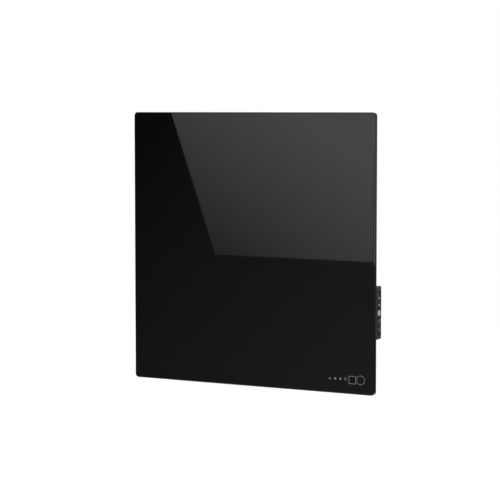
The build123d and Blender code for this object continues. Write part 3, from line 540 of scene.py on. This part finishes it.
# Polyamide switch body and relay cases: black, with a satin tool finish.
satin_polyamide = moulded_plastic("satin_polyamide", "#151516", "#1b1b1c", 0.36, 0.9, 0.015)

# The rocker, polished polyamide: black and glossy.
rocker_gloss = moulded_plastic("polished_polyamide", "#0e0e0f", "#121213", 0.2, 6.0, 0.006)

# Stamped brass tabs and washer: yellow and bright, with lines from the strip mill.
brass = worked_metal("stamped_brass", "#c2a25a", "#d9bd77", 0.26, 0.4, (0.05, 1.0, 1.0), 0.006, 6.0)

# Buttons moulded in ABS: nearly black, with a satin tool finish.
button_satin = moulded_plastic("satin_abs", "#1e1f21", "#242527", 0.38, 0.5, 0.012)

# The lit button, moulded in milky polycarbonate: pale mint, and faintly bright from the lamp
# behind it.
MINT = {"IOR": 1.58, "Roughness": 0.3, "Subsurface Weight": 0.4, "Subsurface Scale": 0.002}
MINT.update({"Emission Strength": 0.22, "Emission Color": linear("#b8cac8")})
lit_mint, mint_tree, mint_shader, mint_where = patterned("milky_mint_polycarbonate", MINT)
tint(mint_tree, mint_shader, noise(mint_tree, mint_where, 3.0, 3.0), "#8f9f9d", "#a5b2b1")

# Acetal plungers, moulded: dark grey and waxy.
acetal = moulded_plastic("moulded_acetal", "#303133", "#38393b", 0.3, 2.0, 0.01, ior=1.48)

# Glass-fibre circuit board with green solder mask: the weave shows faintly through the mask,
# and the copper under it shows as paler fields between darker gaps.
board, board_tree, board_shader, board_where = patterned(
    "solder_masked_board", {"IOR": 1.55, "Roughness": 0.32}
)
tracks = {"Vector": board_where, "Scale": per(5.0), "Randomness": 0.45}
tracks = add_node(board_tree, "ShaderNodeTexVoronoi", tracks, feature="DISTANCE_TO_EDGE")
tint(board_tree, board_shader, tracks.outputs["Distance"], "#0c3c21", "#124c2b", 0.03, 0.06)
weave = add_node(board_tree, "ShaderNodeTexChecker", {"Vector": board_where, "Scale": per(0.6)})
surface_bump(board_tree, board_shader, weave.outputs["Fac"], 0.01)

# Film capacitor, dipped in epoxy: ochre yellow, smooth, with a soft gloss.
capacitor_epoxy = moulded_plastic("yellow_epoxy", "#b08a1e", "#c39a2a", 0.3, 4.0, 0.02)

# Fuse tube of drawn glass: clear, with a pale haze.
fuse_glass, fuse_tree, fuse_shader, fuse_where = patterned(
    "clear_fuse_glass", {"IOR": 1.5, "Roughness": 0.05, "Transmission Weight": 0.9}
)
tint(fuse_tree, fuse_shader, noise(fuse_tree, fuse_where, 5.0), "#d5dedd", "#e6ecec")

# Screw terminals, moulded in green polyamide: strong in colour, with a satin tool finish.
terminal_green = moulded_plastic("green_polyamide", "#1f6a3d", "#277a48", 0.4, 1.2, 0.015)

# Cord gland, moulded in black polyamide: satin, a little greasy in its sheen.
gland_polyamide = moulded_plastic("gland_polyamide", "#131314", "#19191a", 0.34, 0.8, 0.012)

# Rubber seal and grommet, moulded: matt black, with a dusting of bloom.
rubber = moulded_plastic("moulded_epdm_rubber", "#121212", "#1b1b1b", 0.72, 1.0, 0.03, ior=1.5)

# Drawn aluminium cup of the thermal cut-out: bright, with rings from the draw.
drawn_cup = worked_metal(
    "drawn_aluminium_cup", "#b9bbbe", "#d0d2d4", 0.3, 0.8, (0.03, 1.0, 0.03), 0.002, 8.0, 0.03
)

# Pad-printed ink of the marks on the buttons and the rocker: pale, flat and finely grained.
ink_pale, ink_tree, ink_shader, ink_where = patterned(
    "pad_printed_ink", {"IOR": 1.5, "Roughness": 0.45}
)
tint(ink_tree, ink_shader, noise(ink_tree, ink_where, 0.4), "#c4c6c6", "#dcdede")

FINISHES = (
    (glass, "front_glass"),
    (silicone, "rim_bond"),
    (carbon, "heating_film"),
    (copper, "busbars"),
    (fibre, "insulation_board"),
    (coat, "back_tray hanger_rail_left hanger_rail_right"),
    (zinc, "wall_rail_upper wall_rail_lower hanger_studs earth_stud earth_nut"),
    (zinc, "cover_screws board_screws button_board_screws"),
    (rivet_metal, "rail_rivets base_rivets"),
    (housing, "control_base control_cover"),
    (strip_gloss, "control_strip"),
    (satin_polyamide, "switch_body tact_switches control_chip power_relay supply_module"),
    (rocker_gloss, "rocker"),
    (brass, "switch_tabs earth_washer"),
    (button_satin, "menu_button plus_button minus_button"),
    (lit_mint, "mode_button"),
    (acetal, "menu_plunger mode_plunger plus_plunger minus_plunger"),
    (board, "button_board main_board"),
    (capacitor_epoxy, "filter_capacitor"),
    (fuse_glass, "board_fuse"),
    (terminal_green, "mains_terminals film_terminals"),
    (gland_polyamide, "gland_body gland_cap gland_nut"),
    (rubber, "gland_seal lead_grommet"),
    (drawn_cup, "thermal_cutout"),
)
for finish, names in FINISHES:
    for node_name in names.split():
        for material_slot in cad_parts[node_name].material_slots:
            material_slot.material = finish


# ---------------------------------------------------------------- small turned and printed pieces
def solids_of(node_name):
    """The lowest and highest corner of each separate solid of a CAD node."""
    bm = bmesh.new()
    bm.from_mesh(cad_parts[node_name].data)
    bmesh.ops.remove_doubles(bm, verts=bm.verts, dist=0.001 * MM)
    waiting = set(bm.verts)
    boxes = []
    while waiting:
        reached = [waiting.pop()]
        for vert in reached:
            fresh = {edge.other_vert(vert) for edge in vert.link_edges} & waiting
            waiting -= fresh
            reached.extend(fresh)
        places = [vert.co.copy() for vert in reached]
        low = Vector([min(place[axis] for place in places) for axis in range(3)])
        high = Vector([max(place[axis] for place in places) for axis in range(3)])
        boxes.append((low, high))
    bm.free()
    return sorted(boxes, key=lambda corners: tuple(corners[0]))


def face_middle(low, high, along):
    """The middle of the face of a box that a tool moving along that axis meets first."""
    axis = max(range(3), key=lambda way: abs(along[way]))
    middle = (low + high) / 2
    middle[axis] = low[axis] if along[axis] > 0 else high[axis]
    return middle


RIGHTWARD, OUTWARD, DOWNWARD = (1, 0, 0), (0, -1, 0), (0, 0, -1)


def turn_on_lathe(bm, profile, start, along, steps, flute=None, closed=False):
    """Turns a profile of (radius, distance) in millimetres about an axis that starts at start and
    runs along, and gives its rings of verts. A closed profile joins its end to its beginning.
    flute(angle, radius, distance) gives a new radius where the work is fluted."""
    along = Vector(along)
    side = along.orthogonal().normalized()
    other = along.cross(side)
    rings = []
    for radius, distance in profile:
        middle = start + along * distance * MM
        if radius == 0:
            rings.append([bm.verts.new(middle)] * steps)
            continue
        ring = []
        for step in range(steps):
            angle = 2 * math.pi * step / steps
            reach = (flute(angle, radius, distance) if flute else radius) * MM
            outward = (side * math.cos(angle) + other * math.sin(angle)) * reach
            ring.append(bm.verts.new(middle + outward))
        rings.append(ring)
    earlier, later = (rings[-1:] + rings, rings) if closed else (rings, rings[1:])
    for before, ring in zip(earlier, later):
        for step in range(steps):
            following = (step + 1) % steps
            corners = [before[step], before[following], ring[following], ring[step]]
            kept = [vert for place, vert in enumerate(corners) if vert not in corners[:place]]
            bm.faces.new(kept)
    return rings


RECESS_DRAW = 0.55            # a drive recess's floor, as a share of its mouth


def drive_recess(bm, rim, centre, along, arms, arm, width, depth):
    """Fills the flat of a screw's head, inside a rim of verts, round a recess of four arms, or of
    two as a plain slot, whose walls draw in towards its floor. Sizes are in millimetres."""
    along = Vector(along)
    side = along.orthogonal().normalized()
    other = along.cross(side)
    half = width / 2
    end_of_arm = ((arm, -half), (arm, half))
    reach = (*end_of_arm, (half, half)) if arms == 4 else end_of_arm
    outline = []
    for _ in range(arms):
        outline += [side * one + other * two for one, two in reach]
        side, other = (other, -side) if arms == 4 else (-side, -other)
    sunk = along * depth
    mouth = [bm.verts.new(centre + place * MM) for place in outline]
    floor = [bm.verts.new(centre + (place * RECESS_DRAW + sunk) * MM) for place in outline]
    for place in range(len(outline)):
        bm.faces.new([mouth[place - 1], mouth[place], floor[place], floor[place - 1]])
    bm.faces.new(floor)
    loops = []
    for ring in (rim, mouth):
        loops += [bm.edges.get([ring[place - 1], ring[place]]) for place in range(len(ring))]
    bmesh.ops.triangle_fill(bm, edges=loops, use_beauty=True)


# A pan head from the flat round its recess to its seat, as shares of its radius and its height.
PAN_HEAD = ((0.68, 0.0), (0.86, 0.14), (0.96, 0.34), (1.0, 0.6), (1.0, 1.0))
CROSS_ARM, CROSS_WIDTH, CROSS_DEPTH = 0.56, 0.2, 0.55
# The thread and the point, as shares of the shank's radius.
THREAD_PITCH, THREAD_ROOT, POINT_NECK, POINT_TIP = 0.75, 0.78, 0.75, 0.2


def replace_screws(node_name, along, head_height, shank_r):
    """Pan-head screws with a cross recess and a thread, in the place of a node's plain ones.
    along runs from the head to the point, and sizes are in millimetres."""
    axis = max(range(3), key=lambda way: abs(along[way]))
    screws = []
    for low, high in solids_of(node_name):
        length, head_width = (high - low)[axis] / MM, (high - low)[(axis + 1) % 3] / MM
        screws.append((face_middle(low, high, along), length, head_width / 2))

    def build(bm):
        for start, length, head_r in screws:
            profile = [(head_r * out, head_height * down) for out, down in PAN_HEAD]
            profile.append((shank_r, head_height))
            pitch = shank_r * THREAD_PITCH
            place = head_height + pitch
            while place < length - 2 * pitch:
                profile += [(shank_r * THREAD_ROOT, place), (shank_r, place + pitch * 0.5)]
                place += pitch
            profile += [(shank_r * POINT_NECK, place), (shank_r * POINT_TIP, length), (0, length)]
            rings = turn_on_lathe(bm, profile, start, along, 28)
            arm, width = head_r * CROSS_ARM, head_r * CROSS_WIDTH
            drive_recess(bm, rings[0], start, along, 4, arm, width, head_height * CROSS_DEPTH)

    piece = mesh_piece(node_name + "_cut", build, zinc, "heater")
    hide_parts(node_name)


replace_screws("cover_screws", OUTWARD, 1.8, 1.45)
replace_screws("board_screws", OUTWARD, 1.4, 1.2)
replace_screws("button_board_screws", RIGHTWARD, 1.2, 0.95)


# A blind rivet as (radius, distance from the head's top). The tail's distances count from its end.
RIVET = [(0, 0.5), (0.75, 0.55), (0.95, 0.1), (1.2, 0.0), (2.1, 0.1), (3.0, 0.42), (3.6, 0.85)]
RIVET += [(3.8, 1.2), (3.8, 1.3), (2.0, 1.3)]
RIVET_TAIL = ((2.0, 2.2), (2.8, 2.1), (3.1, 1.4), (2.8, 0.5), (1.9, 0.05), (0, 0))


def replace_rivets(node_name):
    """Blind rivets with a domed head, the pit of the snapped mandrel and an upset tail."""

    def build(bm):
        for low, high in solids_of(node_name):
            length = (high.y - low.y) / MM
            profile = RIVET + [(radius, length - back) for radius, back in RIVET_TAIL]
            turn_on_lathe(bm, profile, face_middle(low, high, OUTWARD), OUTWARD, 36)

    piece = mesh_piece(node_name + "_set", build, rivet_metal, "heater")
    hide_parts(node_name)


replace_rivets("rail_rivets")
replace_rivets("base_rivets")


# The studs of the wall rails: a rounded head, a shoulder, and a tail that is swaged from behind.
# They are turned from the wall outwards, as (radius, distance).
STUD = [(0, 0.45), (0.9, 0.4), (1.5, 0.05), (2.4, 0.0), (3.0, 0.3), (3.0, 2.0), (3.8, 2.0)]
STUD += [(3.8, 4.1), (6.5, 4.1), (6.5, 5.2), (6.3, 5.7), (5.7, 6.05), (5.0, 6.1), (2.2, 6.1)]
STUD += [(1.8, 5.9), (0, 5.9)]


def build_studs(bm):
    """The four shouldered studs."""
    for low, high in solids_of("hanger_studs"):
        turn_on_lathe(bm, STUD, face_middle(low, high, OUTWARD), OUTWARD, 48)


studs = mesh_piece("hanger_studs_turned", build_studs, zinc, "wall_rails")
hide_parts("hanger_studs")


# The fuse: a glass tube with a wire in it, and a pressed cap on each end.
fuse_low, fuse_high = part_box("board_fuse")
FUSE_R = (fuse_high.z - fuse_low.z) / 2 / MM
FUSE_LENGTH = (fuse_high.x - fuse_low.x) / MM
FUSE_WALL, FUSE_GAP = 0.6, 0.2          # the tube's wall, and the room between tube and cap
FUSE_CAP, CAP_SHEET, WIRE_R = 5.0, 0.15, 0.15
CAP_INSIDE = 0.35                       # how far in the cap's bottom reaches
fuse_start = face_middle(fuse_low, fuse_high, RIGHTWARD)


def build_fuse_tube(bm):
    """The open glass tube, a little shorter than the fuse."""
    outside = FUSE_R - FUSE_GAP
    bore = outside - FUSE_WALL
    near, far = 2 * FUSE_GAP, FUSE_LENGTH - 2 * FUSE_GAP
    outline = [(outside, near), (outside, far), (bore, far), (bore, near)]
    turn_on_lathe(bm, outline, fuse_start, RIGHTWARD, 36, closed=True)


def build_fuse_metal(bm):
    """Both caps, each as a thin cup, and the wire between them."""
    inside = FUSE_R - CAP_SHEET
    cup = [(0, 0.0), (FUSE_R - 0.5, 0.0), (inside, 0.15), (FUSE_R, 0.5), (FUSE_R, FUSE_CAP)]
    cup += [(inside, FUSE_CAP), (inside, CAP_INSIDE), (0, CAP_INSIDE)]
    for start, way in ((fuse_start, 1), (fuse_start + Vector((FUSE_LENGTH * MM, 0, 0)), -1)):
        turn_on_lathe(bm, cup, start, (way, 0, 0), 36)
    near, far = CAP_INSIDE - 0.01, FUSE_LENGTH - CAP_INSIDE + 0.01
    wire = [(0, near), (WIRE_R, near), (WIRE_R, far), (0, far)]
    turn_on_lathe(bm, wire, fuse_start, RIGHTWARD, 12)


tube = mesh_piece("fuse_tube", build_fuse_tube, fuse_glass, "heater")
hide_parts("board_fuse")
mesh_piece("fuse_caps", build_fuse_metal, brass, "heater")


# A slotted clamp screw in each well of the terminal blocks.
TERMINAL_PITCH, CLAMP_R, CLAMP_HEIGHT, CLAMP_SUNK = 8.0, 1.9, 2.0, 0.9
SLOT_REACH, SLOT_WIDTH, SLOT_DEPTH = CLAMP_R * 0.74, 0.55, 0.9
clamps = []
for block_name, way in (("mains_terminals", (1, 0, 0)), ("film_terminals", (0, 0, 1))):
    low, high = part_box(block_name)
    way = Vector(way)
    poles = round((high - low).dot(way) / MM / TERMINAL_PITCH)
    middle = face_middle(low, high, OUTWARD) - Vector((0, CLAMP_SUNK * MM, 0))
    first = middle - way * (poles - 1) / 2 * TERMINAL_PITCH * MM
    clamps += [first + way * place * TERMINAL_PITCH * MM for place in range(poles)]


def build_clamps(bm):
    """The heads of the clamp screws, with their slots."""
    head = [(CLAMP_R - 0.3, 0.0), (CLAMP_R, 0.25), (CLAMP_R, CLAMP_HEIGHT), (0, CLAMP_HEIGHT)]
    for start in clamps:
        rings = turn_on_lathe(bm, head, start, OUTWARD, 28)
        drive_recess(bm, rings[0], start, OUTWARD, 2, SLOT_REACH, SLOT_WIDTH, SLOT_DEPTH)


mesh_piece("terminal_screws", build_clamps, zinc, "heater")


# Gull-wing legs on two sides of the control chip, in tinned copper. A leg is drawn as places out
# from the chip's edge and up from its foot.
chip_low, chip_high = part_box("control_chip")
LEGS, LEG_PITCH, LEG_WIDTH = 5, 1.27, 0.45
LEG = [(-0.2, 0.95), (0.45, 0.95), (0.75, 0.22), (1.3, 0.22)]
LEG += [(1.3, 0.04), (0.6, 0.04), (0.3, 0.77), (-0.2, 0.77)]


def build_legs(bm):
    """Both rows of legs."""
    middle_z = (chip_low.z + chip_high.z) / 2
    for edge, way in ((chip_low.x, -1), (chip_high.x, 1)):
        outline = [(edge + way * out * MM, chip_low.y + up * MM) for out, up in LEG]
        for place in range(LEGS):
            z = middle_z + (place - (LEGS - 1) / 2) * LEG_PITCH * MM
            ends = []
            for face in (z - LEG_WIDTH / 2 * MM, z + LEG_WIDTH / 2 * MM):
                ends.append([bm.verts.new((*corner, face)) for corner in outline])
                bm.faces.new(ends[-1])
            near, far = ends
            for corner in range(len(LEG)):
                bm.faces.new([near[corner - 1], near[corner], far[corner], far[corner - 1]])


mesh_piece("chip_legs", build_legs, tinned, "heater")


# The gland's cap, with flutes for the fingers and a rounded mouth.
cap_low, cap_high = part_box("gland_cap")
CAP_RADIUS = (cap_high.x - cap_low.x) / 2 / MM
CAP_LENGTH = (cap_high.z - cap_low.z) / MM
FLUTES, FLUTE_DEPTH, FLUTE_FROM, FLUTE_TO = 18, 0.45, 1.2, CAP_LENGTH - 1.8
# The radii of the cap's mouth, of the seal's seat in it, and of its bore.
CAP_MOUTH, CAP_SEAT, CAP_BORE = 4.2, 5.1, 5.8


def cap_flute(angle, radius, distance):
    """The cap's radius at an angle: cut back in the flutes, and unchanged elsewhere."""
    if radius < CAP_RADIUS - 0.1 or not FLUTE_FROM < distance < FLUTE_TO:
        return radius
    return radius - FLUTE_DEPTH * abs(math.sin(FLUTES * angle / 2)) ** 0.6


def build_cap(bm):
    """The cap, turned from the box downwards: its outside, its mouth, and its bore."""
    down_outside = (0.2, 1.1, 1.5, 3.5, 5.5, CAP_LENGTH - 2.0, CAP_LENGTH - 1.6)
    profile = [(CAP_RADIUS, distance) for distance in down_outside]
    profile += [(CAP_RADIUS - 0.5, CAP_LENGTH - 0.5), (CAP_RADIUS - 1.5, CAP_LENGTH)]
    profile += [(CAP_MOUTH + 0.4, CAP_LENGTH), (CAP_MOUTH, CAP_LENGTH - 0.4)]
    profile += [(CAP_MOUTH, CAP_LENGTH - 1.2), (CAP_SEAT, CAP_LENGTH - 1.2)]
    profile += [(CAP_BORE, 5.6), (CAP_BORE, 0.0), (CAP_RADIUS - 0.2, 0.0)]
    start = face_middle(cap_low, cap_high, DOWNWARD)
    turn_on_lathe(bm, profile, start, DOWNWARD, 144, cap_flute, True)


cap = mesh_piece("gland_cap_fluted", build_cap, gland_polyamide, "heater", 28.0)
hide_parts("gland_cap")


# Marks pad-printed on the buttons and the rocker. Each is a thin slab that stands in the face, and
# is drawn as quads in millimetres right of and above the middle of its piece.
MARK_SUNK, MARK_THICKNESS = 0.04, 0.07
RING_STEPS = 32
RAY_START = 5.0               # how far outside the piece the search for its face starts


def bar(z, width, height, columns=2, rows=6):
    """An upright oblong as a net of quads, with its middle at height z."""
    quads = []
    for column in range(columns):
        for row in range(rows):
            left, low = width * column / columns - width / 2, z - height / 2 + height * row / rows
            right, top = left + width / columns, low + height / rows
            quads.append(((left, low), (right, low), (right, top), (left, top)))
    return quads


def open_ring(z, radius, line):
    """A ring as a row of quads, with its middle at height z."""
    quads = []
    bore = radius - line
    for step in range(RING_STEPS):
        corners = []
        for turned, reach in ((step, radius), (step + 1, radius), (step + 1, bore), (step, bore)):
            angle = 2 * math.pi * turned / RING_STEPS
            corners.append((reach * math.cos(angle), z + reach * math.sin(angle)))
        quads.append(tuple(corners))
    return quads


def arrow(way):
    """An arrow that points up or down, made of a stem and a head."""
    stem = bar(-way * 1.6, 0.9, 5.2, 1, 3)
    head = [((-1.6, way * 1.0), (1.6, way * 1.0), (0.05, way * 4.0), (-0.05, way * 4.0))]
    return stem + head


def print_mark(name, node_name, body, quads):
    """Prints quads on the face of a node that looks right, following its curve."""
    low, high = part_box(node_name)
    middle = (low + high) / 2
    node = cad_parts[node_name]
    surface = BVHTree.FromObject(node, bpy.context.evaluated_depsgraph_get())

    def build(bm):
        found = {}
        for quad in quads:
            verts = []
            for y, z in quad:
                key = (round(y, 4), round(z, 4))
                if key not in found:
                    outside = Vector((high.x, middle.y, middle.z)) + Vector((RAY_START, y, z)) * MM
                    hit = surface.ray_cast(outside, Vector((-1, 0, 0)))[0]
                    found[key] = bm.verts.new(hit - Vector((MARK_SUNK * MM, 0, 0)))
                verts.append(found[key])
            bm.faces.new(verts)
        raised = bmesh.ops.extrude_face_region(bm, geom=bm.faces[:])["geom"]
        for element in raised:
            if isinstance(element, bmesh.types.BMVert):
                element.co.x += MARK_THICKNESS * MM

    mesh_piece(name, build, ink_pale, body)


menu_bars = bar(0.85, 5.8, 0.9) + bar(-0.85, 5.8, 0.9)
print_mark("menu_mark", "menu_button", "menu_key", menu_bars)
print_mark("plus_mark", "plus_button", "plus_key", arrow(1))
print_mark("minus_mark", "minus_button", "minus_key", arrow(-1))
print_mark("on_mark", "rocker", "rocker", bar(4.0, 1.4, 4.6))
print_mark("off_mark", "rocker", "rocker", open_ring(-3.8, 2.7, 1.1))
